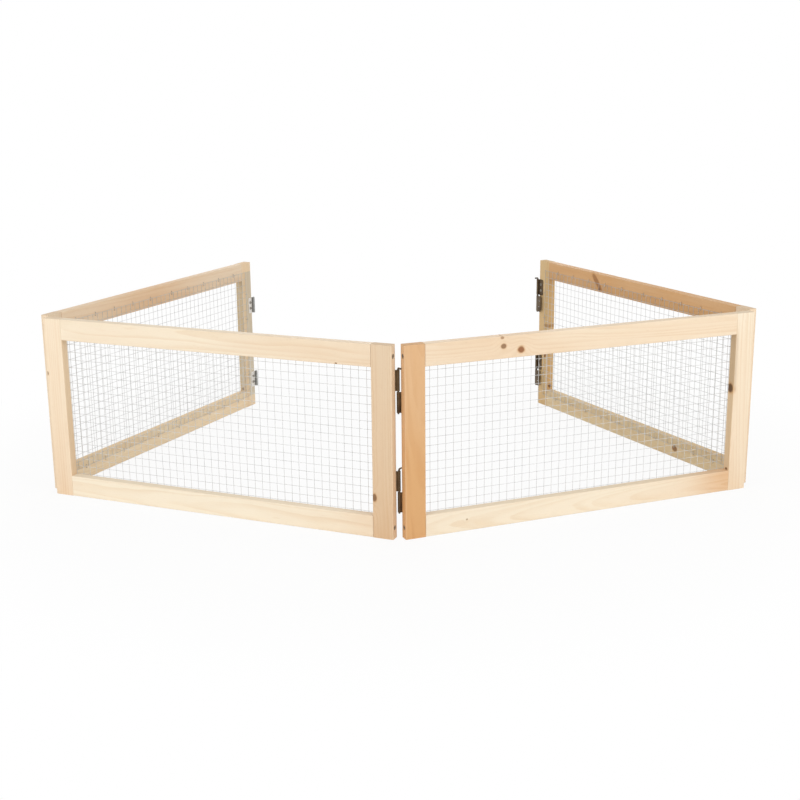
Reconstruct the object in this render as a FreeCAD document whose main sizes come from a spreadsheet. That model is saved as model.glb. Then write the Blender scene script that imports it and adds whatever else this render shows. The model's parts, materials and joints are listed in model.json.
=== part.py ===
import FreeCAD, Part
import Sketcher
import math
import os

# Guinea pig run: four alike pine panels, hinged end to end, open at the back. Millimetres.
# The origin is on the floor, in the middle of the run's footprint. +Z is up, and +Y runs from the
# front corner to the open back. Left and right are as seen from the front, outside the run.
# A panel's own frame has X along its length from left to right seen from outside, Y from its outer
# face inwards, and Z up from the floor.

SIZES = [
    ("panel_length", 612.0, "length of one panel"),
    ("panel_height", 300.0, "height of one panel"),
    ("frame_thickness", 15.0, "thickness of stiles and rails"),
    ("stile_width", 33.0, "width of an upright stile"),
    ("rail_width", 34.5, "width of a top or bottom rail"),
    ("edge_round", 1.2, "radius on the long edges of the wood"),
    ("front_corner_angle", 136.0, "angle inside the run between the two front panels"),
    ("left_corner_angle", 86.0, "angle inside the run at the left corner"),
    ("right_corner_angle", 84.0, "angle inside the run at the right corner"),
    ("spare_leaf_angle", 5.0, "angle between the right end's loose leaves and its inner face"),
    ("hinge_inset", 72.0, "height of a hinge's middle from the nearer end of its stile"),
    ("leaf_height", 32.0, "height of one hinge leaf"),
    ("leaf_width", 13.0, "width of a leaf on the wood"),
    ("leaf_thickness", 1.0, "thickness of the leaf's sheet"),
    ("leaf_corner", 2.5, "radius of a leaf's free corners"),
    ("knuckle_gap", 1.5, "gap between the two knuckles of a hinge"),
    ("pin_diameter", 2.8, "diameter of a hinge pin"),
    ("pin_clearance", 0.05, "radial clearance of a pin in its knuckles"),
    ("pin_to_wood", 1.9, "gap between a pin and the end of its panel"),
    ("pin_tail", 2.0, "length of a pin below its lower knuckle"),
    ("pin_rise", 0.3, "gap between a pin's bend and its upper knuckle"),
    ("pin_bend", 2.4, "radius at the middle of a pin's bend"),
    ("pin_arm", 7.0, "reach of a pin's bent arm from the pin's axis"),
    ("pin_arm_outward", -80.0, "direction of an upper pin's arm, from the length of the panel it turns with"),
    ("pin_arm_inward", 40.0, "direction of a lower pin's arm, from the same length"),
    ("leaf_screw_diameter", 3.0, "diameter of a hinge screw"),
    ("leaf_screw_skin", 4.0, "wood left between a hinge screw's tip and the outer face"),
    ("leaf_screw_head", 5.6, "diameter of a hinge screw's head"),
    ("leaf_screw_dome", 1.8, "height of a hinge screw's head"),
    ("leaf_screw_inset", 6.5, "distance of a hinge screw from the panel's end"),
    ("leaf_screw_spacing", 12.0, "distance between the two screws of a leaf"),
    ("frame_screw_diameter", 4.0, "diameter of a frame screw"),
    ("frame_screw_bite", 27.0, "length of a frame screw in its rail"),
    ("frame_screw_head", 7.4, "diameter of a frame screw's head"),
    ("frame_screw_sink", 0.5, "depth of a frame screw's head below the wood"),
    ("screw_clearance", 0.05, "radial clearance of a screw in its hole"),
    ("screw_tip_room", 0.5, "room between a screw's tip and the bottom of its hole"),
    ("net_pitch", 26.0, "spacing of the net's bars, which is every second wire of the mesh"),
    ("net_wire", 1.0, "width of a bar of the net"),
    ("net_thickness", 1.8, "thickness of two crossed and welded wires"),
    ("net_end_inset", 20.0, "distance of the net's end from the panel's end"),
    ("net_low_inset", 22.0, "distance of the net's lower edge from the floor"),
    ("net_high_inset", 18.0, "distance of the net's upper edge from the panel's top"),
    ("staple_crown", 6.0, "distance between the middles of a staple's legs"),
    ("staple_wire", 0.9, "thickness of a staple's wire"),
    ("staple_to_screw", 0.8, "wood left between a staple's tips and the frame screws"),
]

HINGE_HEIGHTS = ("lower", "upper")
GAPS_PER_STAPLE = 2
COUNTERSINK_ANGLE = 90.0
HALF_TURN = 180.0
QUARTER_TURN = 90.0
TOLERANCE = 1e-6
Y_AXIS = FreeCAD.Vector(0, 1, 0)
Z_AXIS = FreeCAD.Vector(0, 0, 1)

doc = FreeCAD.newDocument("guinea_pig_run")
sheet = doc.addObject("Spreadsheet::Sheet", "sizes")
for row, (alias, value, note) in enumerate(SIZES, start=1):
    sheet.set(f"A{row}", note)
    sheet.set(f"B{row}", str(value))
    sheet.setAlias(f"B{row}", alias)
doc.recompute()

parts = []


def size(expression):
    """Value of an expression on the sheet's names."""
    return float(sheet.evalExpression(expression))


def bound(expression):
    """The same expression as other objects write it, with the sheet's name before each alias."""
    words = expression
    for alias, _, _ in sorted(SIZES, key=lambda entry: -len(entry[0])):
        words = words.replace(alias, f"<{alias}>")
    return words.replace("<", "sizes.").replace(">", "")


def bind(thing, prop, expression):
    """Ties a property of an object to an expression on the sheet."""
    thing.setExpression(prop, bound(expression))


# Sizes that follow from the sheet
knuckle_radius = "(pin_diameter / 2 + pin_clearance + leaf_thickness)"
axis_to_wood = "(pin_diameter / 2 + pin_to_wood)"
rail_length = "(panel_length - 2 * stile_width)"
leaf_middle = "((leaf_height + knuckle_gap) / 2)"
leaf_screw_bite = "(frame_thickness - leaf_screw_skin)"
staple_bite = "(frame_thickness / 2 - frame_screw_diameter / 2 - staple_to_screw)"
pin_top = "(2 * leaf_height + knuckle_gap + pin_rise)"


def new_body(label):
    body = doc.addObject("PartDesign::Body", label)
    body.Label = label
    parts.append(body)
    return body


def new_feature(label, shape):
    feature = doc.addObject("Part::Feature", label)
    feature.Label = label
    feature.Shape = shape
    parts.append(feature)
    return feature


def new_sketch(body, name, role, lift=None):
    """Sketch on one of the body's own origin planes, lifted along its normal by an expression."""
    plane = [feature for feature in body.Origin.OriginFeatures if feature.Role == role][0]
    sketch = body.newObject("Sketcher::SketchObject", name)
    sketch.AttachmentSupport = (plane, [""])
    sketch.MapMode = "FlatFace"
    if lift:
        bind(sketch, "AttachmentOffset.Base.z", lift)
    return sketch


def named_constraint(sketch, name, expression, *arguments):
    """A driving constraint, given by its kind and what it holds, tied to the sheet."""
    index = sketch.addConstraint(Sketcher.Constraint(*arguments, size(expression)))
    sketch.renameConstraint(index, name)
    bind(sketch, f"Constraints.{name}", expression)


def draw_rectangle(sketch, width, height):
    """Rectangle with one corner at the sketch's origin."""
    across, up = size(width), size(height)
    corners = [(0, 0), (across, 0), (across, up), (0, up)]
    points = [FreeCAD.Vector(x, y, 0) for x, y in corners]
    for first, second in zip(points, points[1:] + points[:1]):
        sketch.addGeometry(Part.LineSegment(first, second))
    for line in range(4):
        sketch.addConstraint(Sketcher.Constraint("Coincident", line, 2, (line + 1) % 4, 1))
    for line in (0, 2):
        sketch.addConstraint(Sketcher.Constraint("Horizontal", line))
    for line in (1, 3):
        sketch.addConstraint(Sketcher.Constraint("Vertical", line))
    sketch.addConstraint(Sketcher.Constraint("Coincident", 0, 1, -1, 1))
    named_constraint(sketch, "Width", width, "DistanceX", 0, 1, 0, 2)
    named_constraint(sketch, "Height", height, "DistanceY", 1, 1, 1, 2)


def draw_circles(sketch, centres, radius):
    """Circles of one radius, each centre given by two expressions."""
    for number, (across, up) in enumerate(centres):
        middle = FreeCAD.Vector(size(across), size(up), 0)
        circle = sketch.addGeometry(Part.Circle(middle, Z_AXIS, size(radius)))
        named_constraint(sketch, f"Across{number}", across, "DistanceX", -1, 1, circle, 3)
        named_constraint(sketch, f"Up{number}", up, "DistanceY", -1, 1, circle, 3)
        named_constraint(sketch, f"Radius{number}", radius, "Radius", circle)


def pad(body, sketch, length):
    feature = body.newObject("PartDesign::Pad", "Pad")
    feature.Profile = sketch
    bind(feature, "Length", length)
    return feature


def pocket(body, sketch, depth=None, reverse=False):
    """Pocket of a given depth, or through everything both ways, which has to take wood away."""
    doc.recompute()
    before = body.Shape.Volume
    feature = body.newObject("PartDesign::Pocket", "Pocket")
    feature.Profile = sketch
    if depth:
        bind(feature, "Length", depth)
        feature.Reversed = reverse
    else:
        feature.Type = "ThroughAll"
        feature.SideType = "Symmetric"
    doc.recompute()
    if not body.Shape.Volume < before:
        raise RuntimeError(f"{body.Label}: a pocket cuts nothing")
    return feature


def round_edges(body, base, radius, chosen):
    """Fillet on the edges of the base that a test on an edge picks."""
    doc.recompute()
    names = [f"Edge{i}" for i, edge in enumerate(base.Shape.Edges, start=1) if chosen(edge)]
    feature = body.newObject("PartDesign::Fillet", "Fillet")
    feature.Base = (base, names)
    bind(feature, "Radius", radius)
    return feature


def runs_along(edge, axis):
    """True for a straight edge along one axis: 0 is X, 1 is Y, 2 is Z."""
    start, end = edge.Vertexes[0].Point, edge.Vertexes[-1].Point
    return abs(abs((end - start)[axis]) - edge.Length) < TOLERANCE


# The four wooden pieces of a panel

def make_stile(label):
    """Upright at a panel's left end. A half turn about Y makes it the right one."""
    body = new_body(label)
    section = new_sketch(body, "Section", "XY_Plane")
    draw_rectangle(section, "stile_width", "frame_thickness")
    bar = pad(body, section, "panel_height")
    round_edges(body, bar, "edge_round", lambda edge: runs_along(edge, 2))
    doc.recompute()

    end_marks = new_sketch(body, "EndMarks", "YZ_Plane")
    heights = ("rail_width / 2", "panel_height - rail_width / 2")
    draw_circles(end_marks, [("frame_thickness / 2", height) for height in heights],
                 "frame_screw_diameter / 2 + screw_clearance")
    doc.recompute()
    hole = body.newObject("PartDesign::Hole", "EndHoles")
    hole.Profile = end_marks
    hole.Reversed = True
    hole.DepthType = "ThroughAll"
    hole.HoleCutType = "Countersink"
    hole.HoleCutCustomValues = True
    hole.HoleCutCountersinkAngle = COUNTERSINK_ANGLE
    bind(hole, "Diameter", "frame_screw_diameter + 2 * screw_clearance")
    bind(hole, "HoleCutDiameter", "frame_screw_head + 2 * frame_screw_sink")
    doc.recompute()

    # Hinge screws enter from the inner face
    face_marks = new_sketch(body, "FaceMarks", "XZ_Plane", "-frame_thickness")
    centres = []
    for hinge in ("hinge_inset", "panel_height - hinge_inset"):
        for step in ("- leaf_screw_spacing / 2", "+ leaf_screw_spacing / 2"):
            centres.append(("leaf_screw_inset", f"{hinge} - {leaf_middle} {step}"))
    draw_circles(face_marks, centres, "leaf_screw_diameter / 2 + screw_clearance")
    pocket(body, face_marks, f"{leaf_screw_bite} + screw_tip_room", reverse=True)
    return body


def make_rail(label):
    """Rail between the stiles, with a hole in each end for its frame screw."""
    body = new_body(label)
    section = new_sketch(body, "Section", "YZ_Plane")
    draw_rectangle(section, "frame_thickness", "rail_width")
    bar = pad(body, section, rail_length)
    round_edges(body, bar, "edge_round", lambda edge: runs_along(edge, 0))
    depth = "frame_screw_bite + screw_tip_room"
    for name, lift, reverse in (("LeftEnd", None, True), ("RightEnd", rail_length, False)):
        marks = new_sketch(body, name, "YZ_Plane", lift)
        draw_circles(marks, [("frame_thickness / 2", "rail_width / 2")],
                     "frame_screw_diameter / 2 + screw_clearance")
        pocket(body, marks, depth, reverse)
    return body


# Loose-pin hinges: a leaf on each of two neighbours, and a pin with a bent arm

def make_leaf(label):
    """Lower leaf of a hinge, on its pin's axis, with its plate along X on the wood's side."""
    body = new_body(label)
    section = new_sketch(body, "Section", "XY_Plane")
    radius = size(knuckle_radius)
    reach = f"({axis_to_wood} + leaf_width)"
    sheet_top = -radius + size("leaf_thickness")
    meet = FreeCAD.Vector(math.sqrt(radius ** 2 - sheet_top ** 2), sheet_top, 0)
    foot = FreeCAD.Vector(0, -radius, 0)
    tip = FreeCAD.Vector(size(reach), -radius, 0)
    corner = FreeCAD.Vector(size(reach), sheet_top, 0)
    curl = Part.Circle(FreeCAD.Vector(), Z_AXIS, radius)
    curl_start = math.atan2(meet.y, meet.x)
    curl_end = math.pi + math.pi / 2
    section.addGeometry(Part.ArcOfCircle(curl, curl_start, curl_end))
    section.addGeometry(Part.LineSegment(foot, tip))
    section.addGeometry(Part.LineSegment(tip, corner))
    section.addGeometry(Part.LineSegment(corner, meet))
    section.addConstraint(Sketcher.Constraint("Coincident", 0, 3, -1, 1))
    section.addConstraint(Sketcher.Constraint("PointOnObject", 0, 2, -2))
    for first, second in ((0, 1), (1, 2), (2, 3)):
        section.addConstraint(Sketcher.Constraint("Coincident", first, 2, second, 1))
    section.addConstraint(Sketcher.Constraint("Coincident", 3, 2, 0, 1))
    section.addConstraint(Sketcher.Constraint("Horizontal", 1))
    section.addConstraint(Sketcher.Constraint("Vertical", 2))
    section.addConstraint(Sketcher.Constraint("Horizontal", 3))
    named_constraint(section, "Curl", knuckle_radius, "Radius", 0)
    named_constraint(section, "Reach", reach, "DistanceX", -1, 1, 1, 2)
    named_constraint(section, "Sheet", "leaf_thickness", "DistanceY", 2, 1, 2, 2)
    bore = section.addGeometry(Part.Circle(FreeCAD.Vector(), Z_AXIS, size("pin_diameter / 2 + pin_clearance")))
    section.addConstraint(Sketcher.Constraint("Coincident", bore, 3, -1, 1))
    named_constraint(section, "Bore", "pin_diameter / 2 + pin_clearance", "Radius", bore)
    plate = pad(body, section, "leaf_height")

    def free_corner(edge):
        return runs_along(edge, 1) and abs(edge.Vertexes[0].X - size(reach)) < TOLERANCE

    round_edges(body, plate, "leaf_corner", free_corner)
    marks = new_sketch(body, "ScrewHoles", "XZ_Plane")
    across = f"{axis_to_wood} + leaf_screw_inset"
    heights = ("leaf_height / 2 - leaf_screw_spacing / 2", "leaf_height / 2 + leaf_screw_spacing / 2")
    draw_circles(marks, [(across, height) for height in heights], "leaf_screw_diameter / 2 + screw_clearance")
    pocket(body, marks)
    return body


def make_pin(label):
    """Pin on its own axis, from below its lower knuckle to an arm bent over along X."""
    body = new_body(label)
    section = new_sketch(body, "Section", "XY_Plane", "-pin_tail")
    circle = section.addGeometry(Part.Circle(FreeCAD.Vector(), Z_AXIS, size("pin_diameter / 2")))
    section.addConstraint(Sketcher.Constraint("Coincident", circle, 3, -1, 1))
    named_constraint(section, "Wire", "pin_diameter / 2", "Radius", circle)

    path = new_sketch(body, "Path", "XZ_Plane")
    low, top = -size("pin_tail"), size(pin_top)
    bend, arm = size("pin_bend"), size("pin_arm")
    path.addGeometry(Part.LineSegment(FreeCAD.Vector(0, low, 0), FreeCAD.Vector(0, top, 0)))
    turn = Part.Circle(FreeCAD.Vector(bend, top, 0), Z_AXIS, bend)
    path.addGeometry(Part.ArcOfCircle(turn, math.pi / 2, math.pi))
    path.addGeometry(Part.LineSegment(FreeCAD.Vector(bend, top + bend, 0), FreeCAD.Vector(arm, top + bend, 0)))
    path.addConstraint(Sketcher.Constraint("PointOnObject", 0, 1, -2))
    path.addConstraint(Sketcher.Constraint("Vertical", 0))
    path.addConstraint(Sketcher.Constraint("Tangent", 0, 2, 1, 2))
    path.addConstraint(Sketcher.Constraint("Tangent", 1, 1, 2, 1))
    path.addConstraint(Sketcher.Constraint("Horizontal", 2))
    named_constraint(path, "Tail", "pin_tail", "DistanceY", 0, 1, -1, 1)
    named_constraint(path, "Top", pin_top, "DistanceY", -1, 1, 0, 2)
    named_constraint(path, "Bend", "pin_bend", "Radius", 1)
    named_constraint(path, "Arm", "pin_arm", "DistanceX", -1, 1, 2, 2)
    doc.recompute()
    pipe = body.newObject("PartDesign::AdditivePipe", "Rod")
    pipe.Profile = section
    pipe.Spine = (path, ["Edge1", "Edge2", "Edge3"])
    return body


# Welded net, staples and screws, as one node for each panel

def make_net(label):
    """Net as one face with a hole for each gap, raised to the thickness of two wires."""
    length = size("panel_length - 2 * net_end_inset")
    height = size("panel_height - net_low_inset - net_high_inset")
    wire = size("net_wire")
    columns = max(1, round(length / size("net_pitch")))
    rows = max(1, round(height / size("net_pitch")))

    def outline(left, low, right, high):
        corners = [(left, low), (right, low), (right, high), (left, high), (left, low)]
        return Part.makePolygon([FreeCAD.Vector(x, 0, z) for x, z in corners])

    across, up = (length - wire) / columns, (height - wire) / rows
    wires = [outline(0, 0, length, height)]
    for column in range(columns):
        for line in range(rows):
            left, low = wire + column * across, wire + line * up
            wires.append(outline(left, low, left + across - wire, low + up - wire))
    face = Part.makeFace(wires, "Part::FaceMakerBullseye")
    solid = face.extrude(FreeCAD.Vector(0, size("net_thickness"), 0))
    if solid.ShapeType != "Solid":
        solid = solid.Solids[0]
    net = new_feature(label, solid)
    return net, columns, rows, across, up


def staple_shape():
    """Staple over a wire, its legs set along X and pointing down Y, with its crown's foot at Y 0."""
    half, wire = size("staple_crown / 2"), size("staple_wire")
    inner, outer = half - wire / 2, half + wire / 2
    tip = -size(f"{staple_bite} + net_thickness")
    profile = [(-outer, wire), (outer, wire), (outer, tip), (inner, tip), (inner, 0), (-inner, 0),
               (-inner, tip), (-outer, tip), (-outer, wire)]
    loop = Part.makePolygon([FreeCAD.Vector(x, y, -wire / 2) for x, y in profile])
    return Part.Face(loop).extrude(FreeCAD.Vector(0, 0, wire))


def stapled_gaps(count):
    """Every second gap of a side, from the second one in at both ends."""
    near = list(range(1, count // 2, GAPS_PER_STAPLE))
    return near + [count - 1 - gap for gap in reversed(near)]


def make_staples(label, columns, rows, across, up):
    """Staples over the net's border, each at the middle of a gap."""
    length = size("panel_length - 2 * net_end_inset")
    height = size("panel_height - net_low_inset - net_high_inset")
    edge = size("net_wire / 2")
    left, low = size("net_end_inset"), size("net_low_inset")
    depth = size("frame_thickness + net_thickness")
    places = []
    for column in stapled_gaps(columns):
        middle = left + edge + (column + 0.5) * across
        for border in (low + edge, low + height - edge):
            places.append((middle, border, QUARTER_TURN))
    for row in stapled_gaps(rows):
        middle = low + edge + (row + 0.5) * up
        for border in (left + edge, left + length - edge):
            places.append((border, middle, 0.0))
    model = staple_shape()
    copies = []
    for x, z, angle in places:
        copy = model.copy()
        copy.Placement = FreeCAD.Placement(FreeCAD.Vector(x, depth, z), FreeCAD.Rotation(Y_AXIS, angle))
        copies.append(copy)
    return new_feature(label, Part.makeCompound(copies))


def frame_screw_shape():
    """Countersunk screw along +X, from the face of its head."""
    shank, head = size("frame_screw_diameter / 2"), size("frame_screw_head / 2")
    sink = size("frame_screw_sink")
    cone = (head - shank) / math.tan(math.radians(COUNTERSINK_ANGLE / 2))
    length = size("stile_width + frame_screw_bite") - sink
    along = FreeCAD.Vector(1, 0, 0)
    body = Part.makeCylinder(shank, length - cone, FreeCAD.Vector(sink + cone, 0, 0), along)
    top = Part.makeCone(head, shank, cone, FreeCAD.Vector(sink, 0, 0), along)
    return top.fuse(body).removeSplitter()


def make_frame_screws(label):
    """One screw through each end of each stile, into the rail behind it."""
    model = frame_screw_shape()
    middle, half_rail = size("frame_thickness / 2"), size("rail_width / 2")
    length, height = size("panel_length"), size("panel_height")
    copies = []
    for x, angle in ((0.0, 0.0), (length, HALF_TURN)):
        for z in (half_rail, height - half_rail):
            copy = model.copy()
            copy.Placement = FreeCAD.Placement(FreeCAD.Vector(x, middle, z), FreeCAD.Rotation(Y_AXIS, angle))
            copies.append(copy)
    return new_feature(label, Part.makeCompound(copies))


def leaf_screw_shape():
    """Round-headed screw along -Y, with the foot of its head at the origin."""
    shank, head = size("leaf_screw_diameter / 2"), size("leaf_screw_head / 2")
    dome = size("leaf_screw_dome")
    length = size(f"leaf_thickness + {leaf_screw_bite}")
    ball_radius = (head ** 2 + dome ** 2) / (2 * dome)
    ball = Part.makeSphere(ball_radius, FreeCAD.Vector(0, dome - ball_radius, 0))
    block = Part.makeCylinder(head, dome, FreeCAD.Vector(), Y_AXIS)
    body = Part.makeCylinder(shank, length, FreeCAD.Vector(), -Y_AXIS)
    return ball.common(block).fuse(body).removeSplitter()


def make_leaf_screws(label):
    """Two screws for each of a panel's four leaves."""
    model = leaf_screw_shape()
    length, height = size("panel_length"), size("panel_height")
    inset, half = size("leaf_screw_inset"), size("leaf_screw_spacing / 2")
    depth = size("frame_thickness + leaf_thickness")
    copies = []
    for hinge in (size("hinge_inset"), height - size("hinge_inset")):
        for x, middle in ((inset, hinge - size(leaf_middle)), (length - inset, hinge + size(leaf_middle))):
            for z in (middle - half, middle + half):
                copy = model.copy()
                copy.Placement.Base = FreeCAD.Vector(x, depth, z)
                copies.append(copy)
    return new_feature(label, Part.makeCompound(copies))


# Where the panels stand

def turned(angle):
    return FreeCAD.Rotation(Z_AXIS, angle)


axis_depth = size(f"frame_thickness + {knuckle_radius}")
axis_reach = size(axis_to_wood)
left_axis = FreeCAD.Vector(-axis_reach, axis_depth, 0)
right_axis = FreeCAD.Vector(size("panel_length") + axis_reach, axis_depth, 0)


def stand(angle, own_axis, point):
    """Frame of a panel turned by an angle, with one of its hinge axes on a point."""
    rotation = turned(angle)
    return FreeCAD.Placement(point - rotation.multVec(own_axis), rotation)


front_turn = HALF_TURN - size("front_corner_angle")
left_turn = HALF_TURN - size("left_corner_angle")
right_turn = HALF_TURN - size("right_corner_angle")
front_left = stand(-front_turn / 2, right_axis, FreeCAD.Vector())
front_right = stand(front_turn / 2, left_axis, FreeCAD.Vector())
rear_left = stand(-front_turn / 2 - left_turn, right_axis, front_left.multVec(left_axis))
rear_right = stand(front_turn / 2 + right_turn, left_axis, front_right.multVec(right_axis))
panels = {
    "rear_left": rear_left,
    "front_left": front_left,
    "front_right": front_right,
    "rear_right": rear_right,
}

# The middle of the footprint becomes the origin
footprint = FreeCAD.BoundBox()
for frame in panels.values():
    for x in (0, size("panel_length")):
        for y in (0, size("frame_thickness")):
            footprint.add(frame.multVec(FreeCAD.Vector(x, y, 0)))
for frame in panels.values():
    frame.Base = frame.Base - FreeCAD.Vector(footprint.Center.x, footprint.Center.y, 0)

# Wood, net and fastenings of each panel
half_turn = FreeCAD.Rotation(Y_AXIS, HALF_TURN)
panel_top_right = FreeCAD.Vector(size("panel_length"), 0, size("panel_height"))
top_rail_place = FreeCAD.Vector(size("stile_width"), 0, size("panel_height - rail_width"))
bottom_rail_place = FreeCAD.Vector(size("stile_width"), 0, 0)
net_place = FreeCAD.Vector(size("net_end_inset"), size("frame_thickness"), size("net_low_inset"))


def shifted(frame, vector, rotation=FreeCAD.Rotation()):
    """A place in a panel's frame."""
    return frame.multiply(FreeCAD.Placement(vector, rotation))


for name, frame in panels.items():
    make_stile(f"{name}_left_stile").Placement = frame
    make_stile(f"{name}_right_stile").Placement = shifted(frame, panel_top_right, half_turn)
    make_rail(f"{name}_top_rail").Placement = shifted(frame, top_rail_place)
    make_rail(f"{name}_bottom_rail").Placement = shifted(frame, bottom_rail_place)
    net, *gaps = make_net(f"{name}_wire_net")
    net.Placement = shifted(frame, net_place)
    make_staples(f"{name}_staples", *gaps).Placement = frame
    make_frame_screws(f"{name}_frame_screws").Placement = frame
    make_leaf_screws(f"{name}_hinge_screws").Placement = frame

# Hinges. A panel has top leaves at its right end and bottom leaves at its left end. Each pin turns
# with its bottom leaf. At the right end of the run, loose bottom leaves hang from the top leaves.
spare = stand(HALF_TURN - size("spare_leaf_angle"), left_axis, right_axis)
spare_frame = rear_right.multiply(spare)
hinge_lines = [
    ("left_end", None, rear_left),
    ("left_corner", rear_left, front_left),
    ("front_corner", front_left, front_right),
    ("right_corner", front_right, rear_right),
    ("right_end", rear_right, spare_frame),
]
hinge_middles = {"lower": size("hinge_inset"), "upper": size("panel_height - hinge_inset")}
hinge_half = size("leaf_height + knuckle_gap / 2")
arm_angles = {"lower": size("pin_arm_inward"), "upper": size("pin_arm_outward")}

for line, top_panel, bottom_panel in hinge_lines:
    for height in HINGE_HEIGHTS:
        name = f"{line}_{height}_hinge"
        low = FreeCAD.Vector(0, 0, hinge_middles[height] - hinge_half)
        high = FreeCAD.Vector(0, 0, hinge_middles[height] + hinge_half)
        make_leaf(f"{name}_bottom_leaf").Placement = shifted(bottom_panel, left_axis + low)
        if top_panel:
            make_leaf(f"{name}_top_leaf").Placement = shifted(top_panel, right_axis + high, half_turn)
            arm = arm_angles["upper" if line == "right_end" else height]
            make_pin(f"{name}_pin").Placement = shifted(bottom_panel, left_axis + low, turned(arm))

# Every object is checked before anything is written
doc.recompute()
for thing in doc.Objects:
    if "Invalid" in thing.State or "Error" in thing.State:
        raise RuntimeError(f"{thing.Label} failed: {thing.State}")
for part in parts:
    if part.Shape.isNull() or not part.Shape.isValid():
        raise RuntimeError(f"{part.Label} has no valid shape")

os.makedirs("parts", exist_ok=True)
for part in parts:
    part.Shape.exportStep(f"parts/{part.Label}.step")
print(f"{len(parts)} parts, net of {gaps[0]} by {gaps[1]} gaps")
for line, top_panel, bottom_panel in hinge_lines:
    point = bottom_panel.multVec(left_axis)
    print(f"{line} axis {point.x:.4f} {point.y:.4f}")
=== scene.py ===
import bpy
import json
import math
from mathutils import Matrix, Vector


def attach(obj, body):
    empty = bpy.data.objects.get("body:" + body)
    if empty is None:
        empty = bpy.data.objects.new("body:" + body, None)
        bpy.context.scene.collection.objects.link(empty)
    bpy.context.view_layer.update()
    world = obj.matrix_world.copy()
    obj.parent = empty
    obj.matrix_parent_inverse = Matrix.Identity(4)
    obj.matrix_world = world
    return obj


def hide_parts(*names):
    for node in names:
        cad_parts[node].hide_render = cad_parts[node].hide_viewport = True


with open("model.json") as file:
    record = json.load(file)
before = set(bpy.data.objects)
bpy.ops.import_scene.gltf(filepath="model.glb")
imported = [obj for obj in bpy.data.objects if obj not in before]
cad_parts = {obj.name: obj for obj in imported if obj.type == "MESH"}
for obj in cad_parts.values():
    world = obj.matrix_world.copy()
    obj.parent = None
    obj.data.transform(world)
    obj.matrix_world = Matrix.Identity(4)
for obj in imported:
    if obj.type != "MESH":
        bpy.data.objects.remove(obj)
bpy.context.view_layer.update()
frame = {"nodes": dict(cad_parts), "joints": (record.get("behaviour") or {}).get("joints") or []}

# Panel frames
# Four alike frames of planed pine, each with two full-height stiles and two rails between them.
# Every piece is cut from its own board, so each has its own heart, lean of grain, tone and knots.
PANEL_LENGTH = 0.612
PANEL_HEIGHT = 0.300
WOOD_THICKNESS = 0.015
STILE_WIDTH = 0.033
RAIL_WIDTH = 0.0345
HINGE_REACH = 0.0033
HINGE_DEPTH = 0.01745
MILLIMETRE = 0.001

corners = {joint["name"]: Vector(joint["pos_m"]) for joint in frame["joints"]}


def panel_place(corner, axis_x, degrees):
    """Place of a panel turned about a corner, whose hinge axis is at axis_x along the panel."""
    axis = corners[corner].copy()
    axis.z = 0.0
    turn = Matrix.Rotation(math.radians(degrees), 4, "Z")
    return Matrix.Translation(axis) @ turn @ Matrix.Translation((-axis_x, -HINGE_DEPTH, 0.0))


left_axis = -HINGE_REACH
right_axis = PANEL_LENGTH + HINGE_REACH
PANELS = {
    "rear_left": panel_place("left_corner_hinge", right_axis, degrees=-116.0),
    "front_left": panel_place("front_corner_hinge", right_axis, degrees=-22.0),
    "front_right": panel_place("front_corner_hinge", left_axis, degrees=22.0),
    "rear_right": panel_place("right_corner_hinge", left_axis, degrees=118.0),
}


class Socket:
    """An output in a finish's nodes. Sums written on it in Python add Math nodes."""

    def __init__(self, tree, output=None):
        self.tree = tree
        self.output = output

    def node(self, kind, settings=None, inputs=None, output=0):
        """A new node: its settings come first, then the values or links of its sockets."""
        made = self.tree.nodes.new("ShaderNode" + kind)
        for name, value in (settings or {}).items():
            setattr(made, name, value)
        for key, value in (inputs or {}).items():
            if isinstance(value, Socket):
                self.tree.links.new(value.output, made.inputs[key])
            else:
                made.inputs[key].default_value = value
        return Socket(self.tree, made.outputs[output])

    def maths(self, operation, *others):
        return self.node("Math", {"operation": operation}, dict(enumerate((self, *others))))

    def __add__(self, other):
        return self.maths("ADD", other)

    def __sub__(self, other):
        return self.maths("SUBTRACT", other)

    def __rsub__(self, other):
        return self.node("Math", {"operation": "SUBTRACT"}, {0: other, 1: self})

    def __mul__(self, other):
        return self.maths("MULTIPLY", other)

    def __truediv__(self, other):
        return self.maths("DIVIDE", other)

    __radd__ = __add__
    __rmul__ = __mul__

    def part(self, axis):
        """X, Y or Z of a place."""
        return self.node("SeparateXYZ", inputs={0: self}, output=axis)

    def rise(self, low, high):
        """Smooth rise from 0 at low to 1 at high."""
        return self.node("MapRange", {"interpolation_type": "SMOOTHSTEP"}, {0: self, 1: low, 2: high})

    def nearing(self, limit, far, near):
        """Smooth rise from 0 at far to 1 at near, which are distances short of a limit."""
        return self.rise(limit - far, limit - near)

    def feed(self, shader, name):
        self.tree.links.new(self.output, shader.inputs[name])

    def relief(self, shader, strength, depth):
        """Lets this height stand out of the surface, by a depth in metres."""
        bump = self.node("Bump", inputs={"Strength": strength, "Distance": depth, "Height": self})
        bump.feed(shader, "Normal")


def vector(x, y, z):
    return x.node("CombineXYZ", inputs={0: x, 1: y, 2: z})


def noise(place, scale=1.0, detail=2.0):
    return place.node("TexNoise", inputs={"Vector": place, "Scale": scale, "Detail": detail})


def blend(amount, first, second, kind="MIX"):
    """Colour between two others, or the first one worked on by the second."""
    settings = {"data_type": "RGBA", "blend_type": kind}
    return amount.node("Mix", settings, {0: amount, 6: first, 7: second}, 2)


def new_finish(name):
    """A fresh material, its shader, and the Object coordinates that its patterns read."""
    material = bpy.data.materials.new(name)
    material.use_nodes = True
    tree = material.node_tree
    place = Socket(tree).node("TexCoord", output="Object")
    return material, tree.nodes["Principled BSDF"], place


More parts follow.
